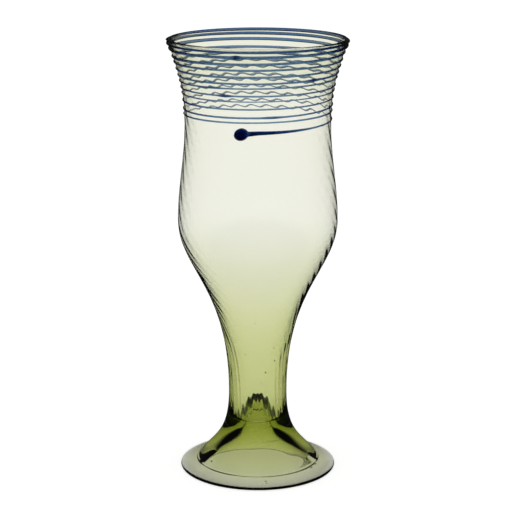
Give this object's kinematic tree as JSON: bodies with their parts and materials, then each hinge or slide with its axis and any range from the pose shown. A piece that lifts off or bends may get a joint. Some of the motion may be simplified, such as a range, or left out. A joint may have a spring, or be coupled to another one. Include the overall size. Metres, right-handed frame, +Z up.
{
  "type": "goblet",
  "caption": "Blown green glass goblet on a hollow stem and wide foot, with a blue glass thread wound in a spiral under its flared lip.",
  "frame": {"origin": "centre of the foot, on the plane that the goblet stands on", "axes": "+Z up along the axis of the goblet, -Y towards the start of the thread"},
  "size_m": [0.0823, 0.082, 0.2],
  "materials": {
    "thin_green_glass": "glossy, pale olive green, with fine twisted ribs and a few seeds",
    "thick_green_glass": "glossy, deeper olive green where the glass is thick",
    "blue_glass": "glossy cobalt blue, nearly opaque"
  },
  "bodies": {
    "root": {"bowl": "thin_green_glass", "stem": "thick_green_glass", "foot": "thick_green_glass", "kick": "thick_green_glass", "spiral_thread": "blue_glass", "thread_drop": "blue_glass"}
  },
  "joints": []
}
